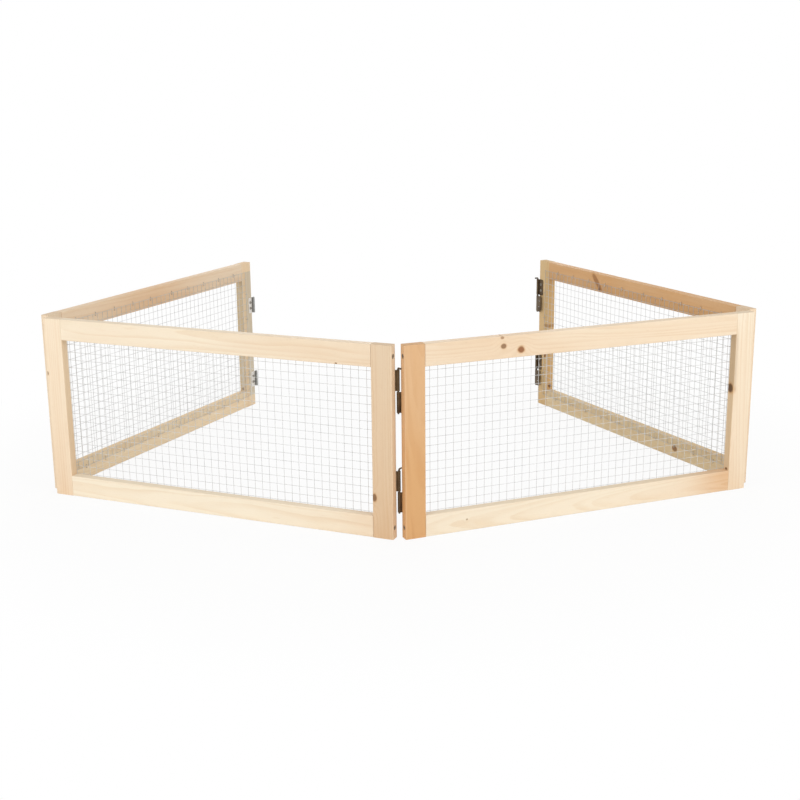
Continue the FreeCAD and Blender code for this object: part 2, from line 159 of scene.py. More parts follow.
def dress(thing, material):
    thing.data.materials.clear()
    thing.data.materials.append(material)


def in_panel(coords, panel):
    """Place in a panel's own frame, in millimetres from the foot of its left end."""
    place = PANELS[panel]
    return coords.node("Mapping", {"vector_type": "TEXTURE"}, {
        "Vector": coords,
        "Location": place.translation,
        "Rotation": place.to_euler(),
        "Scale": (MILLIMETRE,) * 3,
    })


# Knots: their rings and skins in millimetres, and where their marks end in shares of their radius
LIVE_KNOT = (0.25, 0.09, 0.028, 1.0)
DEAD_KNOT = (0.078, 0.032, 0.006, 1.0)
KNOT_WAVER = 0.6
KNOT_RING = 1.1
KNOT_RING_WAVER = 2.0
KNOT_RING_PALENESS = 0.18
EDGE_KNOT_SKIN = (7.0, 1.0)
GRAIN_BULGE = 1.3
BULGE_FALL = -0.16
STAIN_FALL = (0.8, 1.5)
EYE_FALL = (0.6, 1.1)
RIM_RISE = (0.55, 0.80)
RIM_FALL = (0.85, 1.05)


def knot(at, off, radius, stretch=1.0, dark=0.8, red=0.0, slant=0.0, edge=0):
    """A knot's place along a board and across it or, on an edge, in depth, and its radius.

    stretch is how much longer it is along the grain, dark how strongly it shows, red how live its
    colour is, and slant how it leans. edge is the edge that it shows on, 1 or -1, and 0 on a face.
    """
    colour = tuple(dead + (live - dead) * red for dead, live in zip(DEAD_KNOT, LIVE_KNOT))
    return at, off, radius, stretch, dark, colour, slant, edge


def knot_marks(marked, along, across, depth, half_width, wobble):
    """How far a knot makes the rings bulge round it, its stain, eye and rim, and its colour."""
    at, off, radius, stretch, dark, colour, slant, edge = marked
    aside = (depth if edge else across) - off
    run = (along - at + aside * slant) / stretch + wobble * (radius * KNOT_WAVER)
    aside = aside + wobble * radius
    reach = (run * run + aside * aside).maths("SQRT") / radius
    shown = (across * edge).nearing(half_width, *EDGE_KNOT_SKIN) * dark if edge else dark
    bulge = (reach * reach * BULGE_FALL).maths("EXPONENT") * (GRAIN_BULGE * stretch * radius) * shown
    stain = (1 - reach.rise(*STAIN_FALL)) * shown
    ringed = (reach * (radius / KNOT_RING) + wobble * KNOT_RING_WAVER).maths("FRACT")
    eye = (1 - reach.rise(*EYE_FALL)) * (1 - ringed * KNOT_RING_PALENESS) * shown
    rim = reach.rise(*RIM_RISE) * (1 - reach.rise(*RIM_FALL)) * shown
    return bulge, stain, eye, rim, colour


# Where the mesh covers the wood, and how sharp its border is in millimetres
MESH_CELL = 0.013
MESH_COLUMNS = 44
MESH_ROWS = 20
MESH_LENGTH = MESH_COLUMNS * MESH_CELL
MESH_HEIGHT = MESH_ROWS * MESH_CELL
MESH_LEFT = (PANEL_LENGTH - MESH_LENGTH) / 2
MESH_LOW = 0.022
MESH_BORDER = (-0.2, 0.3)


def covered(place, start, size):
    """1 where the mesh lies along one axis of its panel, and 0 past its border."""
    middle = (start + size / 2) / MILLIMETRE
    return (size / 2 / MILLIMETRE - (place - middle).maths("ABSOLUTE")).rise(*MESH_BORDER)


def tinted(colour, tint):
    return tuple(part * share for part, share in zip(colour, tint)) + (1.0,)


def streaks(grain, size, detail=2.0):
    """Noise drawn out along a board's grain, in streaks of a length and width in millimetres."""
    start, across, depth = grain
    length, width = size
    return noise(vector(start / length, across / width, depth / width), detail=detail)


# Streaks along the grain: their length and width in millimetres, and the levels between which they show
NOISE_MIDDLE = 0.5
DRIFT_STREAK = (260, 45)
WOBBLE_STREAK = (60, 14)
CLOUD_STREAK = (170, 24)
FIGURE_STREAK = (120, 16)
FIGURE_RISE = (0.25, 0.75)
FIBRE_STREAK = (24, 0.5)
FLECK_STREAK = (7, 0.7)
FLECK_RISE = (0.64, 0.74)

# Growth rings in millimetres, and the stretch of each ring that is late wood
RING_WIDTH = 3.4
RING_DRIFT = 9.0
RING_WOBBLE = 1.3
RING_UNEVENNESS = 3.2
UNEVEN_RADIUS = 9
UNEVEN_RUN = 900
LATE_RISE = (0.30, 0.90)
LATE_FALL = (0.92, 1.0)

# Colours of the wood and its marks, and how strongly each mark shows
PALE_WOOD = (0.85, 0.745, 0.585, 1.0)
WARM_WOOD = (0.67, 0.382, 0.17, 1.0)
CLOUD_WARMTH = 0.30
LATE_RING = (0.84, 0.70, 0.54, 1.0)
LATE_SHOW = 0.08
FIGURE_SHOW = 0.29
FLECK = (0.76, 0.62, 0.47, 1.0)
FLECK_SHOW = 0.30
FIBRE_SHOW = 0.26
FIBRE_START = 0.32
KNOT_STAIN = (0.84, 0.62, 0.40, 1.0)
STAIN_SHOW = 0.75
RIM_SHOW = 0.18

# Edges, ends and inner face: how deep their skins lie in millimetres, and how strongly they show
ROUNDED_EDGE = (0.2, 2.2)
ROUNDED_SHOW = 0.14
SAWN_SKIN = (0.0, 0.3)
SAWN_SHOW = 0.20
# Painted shade on the edges round the opening: the colour that darkens them
OPENING_SHADE = (0.90, 0.82, 0.70, 1.0)
OPENING_SKIN = (0.8, 0.2)
INNER_SKIN = (0.6, 0.2)
# Painted shade that the mesh casts on the wood under it
MESH_SHADE = (0.78, 0.755, 0.69, 1.0)
MESH_SHADE_SHOW = 0.28
MESH_SHADE_CLOUD = 0.3
# Painted grey shade, a little bluish, for the wood beside the mesh and round the opening
GREY_SHADE = (0.77, 0.85, 0.95, 1.0)

# Gloss, roughness and relief of the planed surface
WOOD_GLOSS = 0.28
WOOD_ROUGHNESS = 0.60
LATE_POLISH = 0.10
KNOT_POLISH = 0.12
FIBRE_ROUGHNESS = 0.08
SAWN_ROUGHNESS = 0.15
LATE_HEIGHT = 0.35
FIBRE_HEIGHT = 0.5
RIM_DEPTH = 0.6
PLANER_STEP = 4.2
PLANER_HEIGHT = 0.08
WOOD_RELIEF = 0.00025
WOOD_RELIEF_STRENGTH = 0.35


def pine(piece, upright, middle, width, length, inward, tone, heart, lean, seed, fade=0.0,
         tint=(1.0, 1.0, 1.0), flush=None, dull=1.0, greyed=0.0, knots=()):
    """Finish of one board, in millimetres from its middle: along the grain, across it and in depth.

    inward is the side that faces the panel's opening, 1 or -1 across the grain. heart is where the
    tree's middle lies across and in depth, and lean how it drifts along the board. tone is how warm
    the wood is, 0 for pale and 1 for warm, and seed where the board's pattern starts.
    fade is how much warmer the board grows from its start to its end, tint how much of each colour it
    gives back, and flush a warmer stretch: its middle, its reach and how much warmer it is.
    dull is how strongly painted shade darkens the wood round the opening and under the mesh, and
    greyed how strongly a painted grey shade darkens it round the opening and beside the mesh.
    """
    material, shader, coords = new_finish("pine_" + piece)
    own = in_panel(coords, piece.rsplit("_", 2)[0])
    half_width = width / MILLIMETRE / 2
    half_depth = WOOD_THICKNESS / MILLIMETRE / 2
    half_length = length / MILLIMETRE / 2
    panel_x = own.part("X")
    panel_z = own.part("Z")
    x = panel_x - middle[0] / MILLIMETRE
    z = panel_z - middle[1] / MILLIMETRE
    along, across = (z, x) if upright else (x, z)
    depth = own.part("Y") - half_depth
    start = along + seed
    grain = (start, across, depth)

    # Rings lie round the heart, drift a little along the board and flow round each knot
    drift = streaks(grain, DRIFT_STREAK) - NOISE_MIDDLE
    wobble = streaks(grain, WOBBLE_STREAK) - NOISE_MIDDLE
    side = across - heart[0] - along * lean[0]
    below = depth - heart[1] - along * lean[1]
    radius = (side * side + below * below).maths("SQRT") + drift * RING_DRIFT + wobble * RING_WOBBLE
    marks = [knot_marks(each, along, across, depth, half_width, wobble) for each in knots]
    for bulge, *_ in marks:
        radius = radius + bulge
    uneven = noise(vector(radius / UNEVEN_RADIUS, start / UNEVEN_RUN, across / UNEVEN_RUN))
    turn = (radius / RING_WIDTH + uneven * RING_UNEVENNESS).maths("FRACT")
    late = turn.rise(*LATE_RISE) * (1 - turn.rise(*LATE_FALL))

    # Wood between pale and warm, with late rings, flecks and fibres in it
    fibre = streaks(grain, FIBRE_STREAK, detail=3.0)
    fleck = streaks(grain, FLECK_STREAK).rise(*FLECK_RISE)
    cloud = streaks(grain, CLOUD_STREAK)
    figure = streaks(grain, FIGURE_STREAK).rise(*FIGURE_RISE)
    warmth = (cloud - NOISE_MIDDLE) * CLOUD_WARMTH + along * (fade / (2 * half_length)) + tone
    if flush:
        flush_middle, flush_reach, warmer = flush
        away = (along - flush_middle) / flush_reach
        warmth = warmth + (away * away * -1.0).maths("EXPONENT") * warmer
    colour = blend(warmth.maths("MAXIMUM", 0.0), tinted(PALE_WOOD, tint), tinted(WARM_WOOD, tint))
    colour = blend(late * (figure * FIGURE_SHOW + LATE_SHOW), colour, LATE_RING, "MULTIPLY")
    colour = blend(fleck * FLECK_SHOW, colour, FLECK, "MULTIPLY")
    colour = blend((fibre - FIBRE_START) * FIBRE_SHOW, colour, FLECK, "MULTIPLY")

    # Rounded edges are a little paler, the edges round the opening darkened by painted shade, and sawn
    # ends darker
    to_edge = (half_width - across.maths("ABSOLUTE")) + (half_depth - depth.maths("ABSOLUTE"))
    colour = blend((1 - to_edge.rise(*ROUNDED_EDGE)) * ROUNDED_SHOW, colour, PALE_WOOD)
    opening = (across * inward).nearing(half_width, *OPENING_SKIN)
    colour = blend(opening * dull, colour, OPENING_SHADE, "MULTIPLY")
    sawn = 1 - (half_length - along.maths("ABSOLUTE")).rise(*SAWN_SKIN)
    colour = blend(sawn * SAWN_SHOW, colour, FLECK, "MULTIPLY")

    # The inner face gets painted shade under the mesh and, on some boards, painted grey shade beside it
    level = covered(panel_z, MESH_LOW, MESH_HEIGHT) * depth.nearing(half_depth, *INNER_SKIN)
    lapped = covered(panel_x, MESH_LEFT, MESH_LENGTH) * level
    under = lapped * (cloud * MESH_SHADE_CLOUD + MESH_SHADE_SHOW) * dull
    colour = blend(under, colour, MESH_SHADE, "MULTIPLY")
    # Painted grey shade beside the mesh and round the opening
    if greyed:
        colour = blend((level - lapped + opening) * greyed, colour, GREY_SHADE, "MULTIPLY")

    # Late rings and knots are smoother, sawn ends rougher, and the planer leaves a faint ripple
    rough = WOOD_ROUGHNESS - late * LATE_POLISH + fibre * FIBRE_ROUGHNESS + sawn * SAWN_ROUGHNESS
    ripple = (along * (2 * math.pi / PLANER_STEP)).maths("SINE") * PLANER_HEIGHT
    height = late * LATE_HEIGHT + fibre * FIBRE_HEIGHT + ripple + sawn * fibre
    for _, stain, eye, rim, knot_colour in marks:
        colour = blend(stain * STAIN_SHOW, colour, KNOT_STAIN, "MULTIPLY")
        colour = blend(eye, colour, knot_colour)
        colour = blend(rim * RIM_SHOW, colour, DEAD_KNOT)
        rough = rough - eye * KNOT_POLISH
        height = height - rim * RIM_DEPTH
    colour.feed(shader, "Base Color")
    rough.feed(shader, "Roughness")
    height.relief(shader, WOOD_RELIEF_STRENGTH, WOOD_RELIEF)
    shader.inputs["Specular IOR Level"].default_value = WOOD_GLOSS
    dress(frame["nodes"][piece], material)


def stile(piece, **wood):
    """Board standing at one end of a panel."""
    left = "left_stile" in piece
    middle_x = STILE_WIDTH / 2 if left else PANEL_LENGTH - STILE_WIDTH / 2
    pine(piece, upright=True, middle=(middle_x, PANEL_HEIGHT / 2), width=STILE_WIDTH, length=PANEL_HEIGHT,
         inward=1 if left else -1, **wood)


def rail(piece, **wood):
    """Board lying between the stiles."""
    high = "top_rail" in piece
    middle_z = PANEL_HEIGHT - RAIL_WIDTH / 2 if high else RAIL_WIDTH / 2
    pine(piece, upright=False, middle=(PANEL_LENGTH / 2, middle_z), width=RAIL_WIDTH,
         length=PANEL_LENGTH - 2 * STILE_WIDTH, inward=-1 if high else 1, **wood)


stile("front_left_left_stile", tone=0.18, heart=(30, -38), lean=(0.02, 0.01), seed=100, fade=-0.26,
      tint=(1.02, 1.0, 0.985), dull=0.7,
      knots=[knot(58, -15.8, 2.6, stretch=1.4, dark=0.75)])
stile("front_left_right_stile", tone=0.48, heart=(-34, 30), lean=(0.01, 0.02), seed=420, fade=-0.30,
      tint=(0.92, 0.915, 0.90),
      knots=[knot(-86, -13.3, 4.2, stretch=1.6, dark=0.8, red=0.2)])
rail("front_left_top_rail", tone=0.07, heart=(12, -52), lean=(0.012, 0.006), seed=770, fade=0.38,
     flush=(-234, 110, 0.17),
     knots=[knot(217, -16, 1.6, stretch=1.2, dark=0.7)])
rail("front_left_bottom_rail", tone=-0.04, heart=(-5, -46), lean=(-0.01, 0.012), seed=1110, fade=0.30,
     tint=(1.03, 1.04, 1.05), flush=(273, 60, 0.14), dull=0.2)

stile("front_right_left_stile", tone=0.96, heart=(10, -60), lean=(0.015, 0.03), seed=1500, fade=-0.25,
      tint=(0.985, 0.98, 0.965))
# On this stile the first knot, broad and faint, is painted shade on the upper part of the opening edge,
# below the top rail
stile("front_right_right_stile", tone=0.17, heart=(-28, 35), lean=(0.0, 0.015), seed=1830, fade=-0.20,
      knots=[knot(70, 0, 22.0, stretch=2.4, dark=0.22, edge=-1),
             knot(24, 0.5, 7.4, stretch=1.15, dark=1.0, edge=-1),
             knot(-114, 0, 2.8, dark=0.9, edge=-1)])
rail("front_right_top_rail", tone=0.22, heart=(20, -44), lean=(-0.008, 0.01), seed=2240, fade=0.04,
     flush=(-160, 120, 0.16),
     knots=[knot(-145.6, 2, 4.1, stretch=1.2, dark=0.78, red=0.25),
            knot(-116, -5.5, 5.7, stretch=1.05, dark=1.0, red=1.0),
            knot(-148, 15, 2.4, stretch=1.3, dark=0.6, red=0.4)])
rail("front_right_bottom_rail", tone=-0.02, heart=(-5, -30), lean=(0.0, 0.05), seed=2600, fade=0.30,
     flush=(273, 65, 0.58), dull=0.35,
     knots=[knot(-205, 1, 1.6, stretch=1.2, dark=0.5)])

stile("rear_left_left_stile", tone=0.36, heart=(25, 40), lean=(0.01, 0.01), seed=3000,
      tint=(1.09, 1.10, 1.055), dull=0.9, greyed=1.0,
      knots=[knot(-111, 0, 2.8, dark=0.7, edge=1)])
stile("rear_left_right_stile", tone=0.25, heart=(-30, 42), lean=(0.01, 0.01), seed=3300)
rail("rear_left_top_rail", tone=0.30, heart=(-16, 48), lean=(0.01, -0.01), seed=3700,
     tint=(1.03, 1.02, 1.02), flush=(20, 120, 0.34), dull=0.4)
rail("rear_left_bottom_rail", tone=0.28, heart=(14, 44), lean=(0.01, 0.02), seed=4100,
     tint=(1.12, 1.14, 1.09), dull=0.8)

stile("rear_right_left_stile", tone=0.33, heart=(-26, 44), lean=(0.01, 0.01), seed=4500)
stile("rear_right_right_stile", tone=0.80, heart=(28, 40), lean=(0.01, 0.01), seed=4900,
      tint=(0.975, 1.06, 0.96),
      knots=[knot(-43, -7, 4.5, stretch=1.2, dark=0.8, red=0.7),
             knot(19, -13, 11.0, stretch=0.3, dark=0.45, red=0.6),
             knot(-108, 0, 3.6, stretch=1.2, dark=0.9, red=0.2, edge=-1)])
rail("rear_right_top_rail", tone=0.94, heart=(-10, 40), lean=(0.02, 0.02), seed=5300,
     tint=(1.0, 1.01, 1.01),
     knots=[knot(112, 2, 16.0, stretch=0.5, dark=0.6, red=0.7, slant=-0.88),
            knot(104, -12, 3.6, dark=0.75, red=0.2)])
rail("rear_right_bottom_rail", tone=0.48, heart=(12, 46), lean=(0.02, 0.02), seed=5700,
     tint=(0.99, 1.05, 0.97), dull=0.7,
     knots=[knot(-136, 0, 5.4, stretch=1.4, dark=0.8, red=0.6)])

# Frame screws
# One countersunk wood screw through each end of each stile, into the end of the rail behind it.
# It is of blackened steel, and its head lies just below the wood's surface and has a cross recess.
FRAME_SCREW_RADIUS = 0.0020
FRAME_HEAD_RADIUS = 0.0037
FRAME_HEAD_SINK = 0.0005
FRAME_SCREW_LENGTH = 0.0595
FRAME_CROSS = (0.0042, 0.0009, 0.0013)
SCREW_SIDES = 24
SCREW_POINT = 0.4
SMOOTH_ANGLE = 35.0


def only(*objects):
    """These objects alone are selected, the first one active."""
    bpy.ops.object.select_all(action="DESELECT")
    for thing in objects:
        thing.select_set(True)
    bpy.context.view_layer.objects.active = objects[0]


def settle(thing):
    """Puts an object's place, turn and scale into its mesh."""
    only(thing)
    bpy.ops.object.transform_apply(location=True, rotation=True, scale=True)


def begin(primitive, **shape):
    """Starts a piece from one of Blender's primitives, with nothing else selected."""
    bpy.ops.object.select_all(action="DESELECT")
    primitive(**shape)
    begun = bpy.context.object
    settle(begun)
    return begun


def remove(thing):
    bpy.data.objects.remove(thing)


def apply_modifier(thing, kind, **settings):
    """Adds one modifier to an object and applies it."""
    only(thing)
    modifier = thing.modifiers.new(kind.title(), kind)
    for name, value in settings.items():
        setattr(modifier, name, value)
    bpy.ops.object.modifier_apply(modifier=modifier.name)


def join(first, *others):
    only(first, *others)
    if others:
        bpy.ops.object.join()
    return first


def smooth_edges(thing, degrees=SMOOTH_ANGLE):
    only(thing)
    bpy.ops.object.shade_smooth_by_angle(angle=math.radians(degrees))


def copies(model, places, name):
    """Copies of a model at the given matrices, as one object with its place in its mesh."""
    made = []
    for place in places:
        copy = bpy.data.objects.new(name, model.data.copy())
        bpy.context.scene.collection.objects.link(copy)
        copy.matrix_world = place
        settle(copy)
        made.append(copy)
    group = join(*made)
    group.name = name
    return group


def cut_cross(head, face_z, cross):
    """Cuts a cross recess into a head whose face is at face_z: its length, width and depth."""
    length, width, depth = cross
    for turn in (0.0, math.pi / 2):
        cutter = begin(bpy.ops.mesh.primitive_cube_add, size=1.0, location=(0.0, 0.0, face_z),
                       rotation=(0.0, 0.0, turn), scale=(length, width, 2 * depth))
        apply_modifier(head, "BOOLEAN", operation="DIFFERENCE", object=cutter, solver="EXACT")
        remove(cutter)


def with_shank(head, top_z, radius, length):
    """A whole screw: a head with a shank that tapers down from top_z to its point."""
    shank = begin(bpy.ops.mesh.primitive_cone_add, vertices=SCREW_SIDES, radius1=radius * SCREW_POINT,
                  radius2=radius, depth=length, location=(0.0, 0.0, top_z - length / 2))
    screw = join(head, shank)
    smooth_edges(screw)
    return screw


def frame_screw():
    """Screw pointing down -Z, with the wood's surface at Z 0."""
    cone = FRAME_HEAD_RADIUS - FRAME_SCREW_RADIUS
    head = begin(bpy.ops.mesh.primitive_cone_add, vertices=SCREW_SIDES, radius1=FRAME_SCREW_RADIUS,
                 radius2=FRAME_HEAD_RADIUS, depth=cone, location=(0.0, 0.0, -FRAME_HEAD_SINK - cone / 2))
    cut_cross(head, -FRAME_HEAD_SINK, FRAME_CROSS)
    return with_shank(head, -FRAME_HEAD_SINK - cone, FRAME_SCREW_RADIUS, FRAME_SCREW_LENGTH - cone)


FRAME_SCREW_COAT = (0.24, 0.18, 0.12, 1.0)
FRAME_SCREW_STAIN = (0.12, 0.09, 0.06, 1.0)
PATCH_SCALE = 0.35
PATCH_RISE = (0.40, 0.72)
PATCH_SHOW = 0.75
PATCH_ROUGHNESS = 0.14
PATCH_HEIGHT = 0.5
MOTTLE_SCALE = 1.6
MOTTLE_SHOW = 0.2
MOTTLE_ROUGHNESS = 0.16
COAT_RELIEF = 0.00006
COAT_RELIEF_STRENGTH = 0.25


def steel(name, coat, stain, metal, rough, grain):
    """Worked steel with a mottled coat, stained in patches. grain is how coarse both are, in metres."""
    material, shader, coords = new_finish(name)
    patches = noise(coords, PATCH_SCALE / grain, detail=4.0)
    mottle = noise(coords, MOTTLE_SCALE / grain)
    stained = patches.rise(*PATCH_RISE)
    blend(stained * PATCH_SHOW + mottle * MOTTLE_SHOW, coat, stain).feed(shader, "Base Color")
    rough = rough + stained * PATCH_ROUGHNESS + (mottle - NOISE_MIDDLE) * MOTTLE_ROUGHNESS
    rough.feed(shader, "Roughness")
    shader.inputs["Metallic"].default_value = metal
    (mottle + patches * PATCH_HEIGHT).relief(shader, COAT_RELIEF_STRENGTH, COAT_RELIEF)
    return material


screw_black = steel("blackened_screw", FRAME_SCREW_COAT, FRAME_SCREW_STAIN, metal=0.6, rough=0.5,
                    grain=0.002)
model = frame_screw()
for panel, place in PANELS.items():
    spots = []
    for end_x, facing in ((0.0, -math.pi / 2), (PANEL_LENGTH, math.pi / 2)):
        for spot_z in (RAIL_WIDTH / 2, PANEL_HEIGHT - RAIL_WIDTH / 2):
            spot = Matrix.Translation((end_x, WOOD_THICKNESS / 2, spot_z))
            spots.append(place @ spot @ Matrix.Rotation(facing, 4, "Y"))
    screws = copies(model, spots, panel + "_cross_head_frame_screws")
    dress(screws, screw_black)
    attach(screws, panel + "_panel")
    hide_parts(panel + "_frame_screws")
remove(model)

# Wire mesh
# Welded mesh of galvanised wire in square cells, laid on the inner face and lapping onto the wood.
# The uprights lie against the wood, and the cross wires are welded onto them at every crossing.
WIRE = 0.00065
WIRE_SIDES = 8
WIRE_SMOOTH_ANGLE = 60.0
MESH_DEPTH = 0.0013
WELD = 0.0005
WELD_FLATNESS = 0.9
WELD_SMOOTH_ANGLE = 80.0

BRIGHT_ZINC = (0.63, 0.63, 0.62, 1.0)
DULL_ZINC = (0.49, 0.49, 0.48, 1.0)
ZINC_METAL = 0.5
ZINC_ROUGHNESS = 0.52
DULL_SCALE = 45.0
DULL_RISE = (0.35, 0.7)
DULL_SHOW = 0.6
DULL_ROUGHNESS = 0.14
SPANGLE_SCALE = 900.0
SPANGLE_SHOW = 0.3
SPANGLE_ROUGHNESS = 0.2
SPANGLE_RELIEF = 0.00005
SPANGLE_RELIEF_STRENGTH = 0.2


def repeat(thing, count, step):
    """Turns one thing into a row of them, each a step further than the last."""
    apply_modifier(thing, "ARRAY", count=count, use_relative_offset=False, use_constant_offset=True,
                   constant_offset_displace=step)


def wire_run(length, at, turn, step, count):
    """Parallel wires, the first one at a place, each next one a step further."""
    wire = begin(bpy.ops.mesh.primitive_cylinder_add, vertices=WIRE_SIDES, radius=WIRE / 2, depth=length,
                 location=at, rotation=turn)
    smooth_edges(wire, WIRE_SMOOTH_ANGLE)
    repeat(wire, count, step)
    return wire


def galvanised(name):
    """Dull zinc over drawn wire, with brighter and duller lengths."""
    material, shader, coords = new_finish(name)
    dulled = noise(coords, DULL_SCALE).rise(*DULL_RISE)
    spangle = noise(coords, SPANGLE_SCALE)
    blend(dulled * DULL_SHOW + spangle * SPANGLE_SHOW, BRIGHT_ZINC, DULL_ZINC).feed(shader, "Base Color")
    rough = ZINC_ROUGHNESS + dulled * DULL_ROUGHNESS + (spangle - NOISE_MIDDLE) * SPANGLE_ROUGHNESS
    rough.feed(shader, "Roughness")
    shader.inputs["Metallic"].default_value = ZINC_METAL
    spangle.relief(shader, SPANGLE_RELIEF_STRENGTH, SPANGLE_RELIEF)
    return material


back = WOOD_THICKNESS + WIRE / 2
front = WOOD_THICKNESS + MESH_DEPTH - WIRE / 2
first_x = MESH_LEFT + WIRE / 2
first_z = MESH_LOW + WIRE / 2
across_step = (MESH_LENGTH - WIRE) / MESH_COLUMNS
up_step = (MESH_HEIGHT - WIRE) / MESH_ROWS
uprights = wire_run(MESH_HEIGHT, at=(first_x, back, MESH_LOW + MESH_HEIGHT / 2), turn=(0.0, 0.0, 0.0),
                    step=(across_step, 0.0, 0.0), count=MESH_COLUMNS + 1)
cross_wires = wire_run(MESH_LENGTH, at=(MESH_LEFT + MESH_LENGTH / 2, front, first_z),
                       turn=(0.0, math.pi / 2, 0.0), step=(0.0, 0.0, up_step), count=MESH_ROWS + 1)
welds = begin(bpy.ops.mesh.primitive_ico_sphere_add, subdivisions=1, radius=WELD,
              location=(first_x, (back + front) / 2, first_z), scale=(1.0, WELD_FLATNESS, 1.0))
smooth_edges(welds, WELD_SMOOTH_ANGLE)
repeat(welds, MESH_COLUMNS + 1, (across_step, 0.0, 0.0))
repeat(welds, MESH_ROWS + 1, (0.0, 0.0, up_step))
model = join(uprights, cross_wires, welds)
zinc = galvanised("galvanised_wire")
for panel, place in PANELS.items():
    net = copies(model, [place], panel + "_welded_mesh")
    dress(net, zinc)
    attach(net, panel + "_panel")
    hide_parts(panel + "_wire_net")
remove(model)

# Staples
# Steel wire staples driven over the mesh's border into the inner face of the frame.
# Their crowns bear on the border wire, and their shoulders are rounded where the wire is bent.
STAPLE_CROWN = 0.006
STAPLE_WIRE = 0.0009
STAPLE_BITE = 0.0047
STAPLE_SHOULDER = 0.00035
STAPLE_SMOOTH_ANGLE = 50.0
STAPLED_COLUMNS = (3, 7, 11, 15, 19, 24, 28, 32, 36, 40)
STAPLED_ROWS = (3, 7, 12, 16)
STAPLE_COAT = (0.56, 0.54, 0.51, 1.0)
STAPLE_STAIN = (0.40, 0.38, 0.35, 1.0)


def pick(thing, kind, wanted):
    """Enters edit mode with only the wanted faces or edges selected."""
    only(thing)
    bpy.ops.object.mode_set(mode="EDIT")
    bpy.ops.mesh.select_mode(type=kind)
    bpy.ops.mesh.select_all(action="DESELECT")
    bpy.ops.object.mode_set(mode="OBJECT")
    for part in thing.data.polygons if kind == "FACE" else thing.data.edges:
        part.select = wanted(part)
    bpy.ops.object.mode_set(mode="EDIT")


def staple():
    """Staple with its crown along X, its legs down -Y and the foot of its crown at Y 0."""
    crown = begin(bpy.ops.mesh.primitive_cube_add, size=1.0, location=(0.0, STAPLE_WIRE / 2, 0.0),
                  scale=(STAPLE_CROWN + STAPLE_WIRE, STAPLE_WIRE, STAPLE_WIRE))
    bpy.ops.object.mode_set(mode="EDIT")
    for side in (-1.0, 1.0):
        bpy.ops.mesh.select_all(action="SELECT")
        bpy.ops.mesh.bisect(plane_co=(side * (STAPLE_CROWN - STAPLE_WIRE) / 2, 0.0, 0.0),
                            plane_no=(1.0, 0.0, 0.0))
    bpy.ops.object.mode_set(mode="OBJECT")
    pick(crown, "FACE", lambda face: face.normal.y < -0.5 and abs(face.center.x) > STAPLE_CROWN / 4)
    leg = (0.0, -STAPLE_BITE - MESH_DEPTH, 0.0)
    bpy.ops.mesh.extrude_region_move(TRANSFORM_OT_translate={"value": leg})
    bpy.ops.object.mode_set(mode="OBJECT")
    apply_modifier(crown, "BEVEL", width=STAPLE_SHOULDER, segments=1, limit_method="ANGLE")
    smooth_edges(crown, STAPLE_SMOOTH_ANGLE)
    return crown


staple_steel = steel("staple_wire", STAPLE_COAT, STAPLE_STAIN, metal=0.7, rough=0.46, grain=0.0015)
model = staple()
crown_y = WOOD_THICKNESS + MESH_DEPTH
upright = Matrix.Rotation(math.pi / 2, 4, "Y")
for panel, place in PANELS.items():
    spots = []
    for column in STAPLED_COLUMNS:
        middle = first_x + (column + 0.5) * across_step
        for border in (first_z, first_z + MESH_ROWS * up_step):
            spots.append(place @ Matrix.Translation((middle, crown_y, border)) @ upright)
    for row in STAPLED_ROWS:
        middle = first_z + (row + 0.5) * up_step
        for border in (first_x, first_x + MESH_COLUMNS * across_step):
            spots.append(place @ Matrix.Translation((border, crown_y, middle)))
    staples = copies(model, spots, panel + "_wire_staples")
    dress(staples, staple_steel)
    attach(staples, panel + "_panel")
    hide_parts(panel + "_staples")
remove(model)

# Hinge leaves and pins
# Pressed and rolled steel leaves on the inner faces, with loose pins of bent rod through their knuckles.
# They have a brown coat, stained in patches and darkened further with painted shade. The leaves that
# stand open, at the left end, have a lighter copy of the same steel instead, with a painted highlight on
# the plate and painted shade on the rolled knuckle.
LEAF_COAT_IN_SHADE = (0.145, 0.10, 0.055, 1.0)
LEAF_STAIN = (0.07, 0.042, 0.02, 1.0)
PIN_COAT_IN_SHADE = (0.14, 0.10, 0.06, 1.0)
PIN_STAIN = (0.07, 0.045, 0.022, 1.0)
# Painted highlight on the open leaves' plate, and painted shade on their rolled knuckle
LIT_PLATE = (0.86, 0.82, 0.77, 1.0)
LIT_PLATE_STAIN = (0.70, 0.66, 0.60, 1.0)
SHADED_KNUCKLE = (0.38, 0.38, 0.365, 1.0)
SHADED_KNUCKLE_STAIN = (0.21, 0.21, 0.20, 1.0)
PLATE_START = (-0.6, 0.6)
LIT_LEAF_SCALE = 260.0
LIT_LEAF_METAL = 0.7
LIT_LEAF_ROUGHNESS = 0.34
LIT_LEAF_MOTTLE_ROUGHNESS = 0.2


def lit_leaf_steel(name):
    """Lighter copy of the leaf steel for the leaves that stand open: a painted highlight on the plate and
    painted shade on the rolled knuckle.
    """
    material, shader, coords = new_finish(name)
    plate = in_panel(coords, "rear_left").part("X").rise(*PLATE_START)
    mottle = noise(coords, LIT_LEAF_SCALE, detail=3.0)
    shaded_knuckle = blend(mottle, SHADED_KNUCKLE, SHADED_KNUCKLE_STAIN)
    lit_plate = blend(mottle, LIT_PLATE, LIT_PLATE_STAIN)
    blend(plate, shaded_knuckle, lit_plate).feed(shader, "Base Color")
    (LIT_LEAF_ROUGHNESS + mottle * LIT_LEAF_MOTTLE_ROUGHNESS).feed(shader, "Roughness")
    shader.inputs["Metallic"].default_value = LIT_LEAF_METAL
    mottle.relief(shader, COAT_RELIEF_STRENGTH, COAT_RELIEF)
    return material


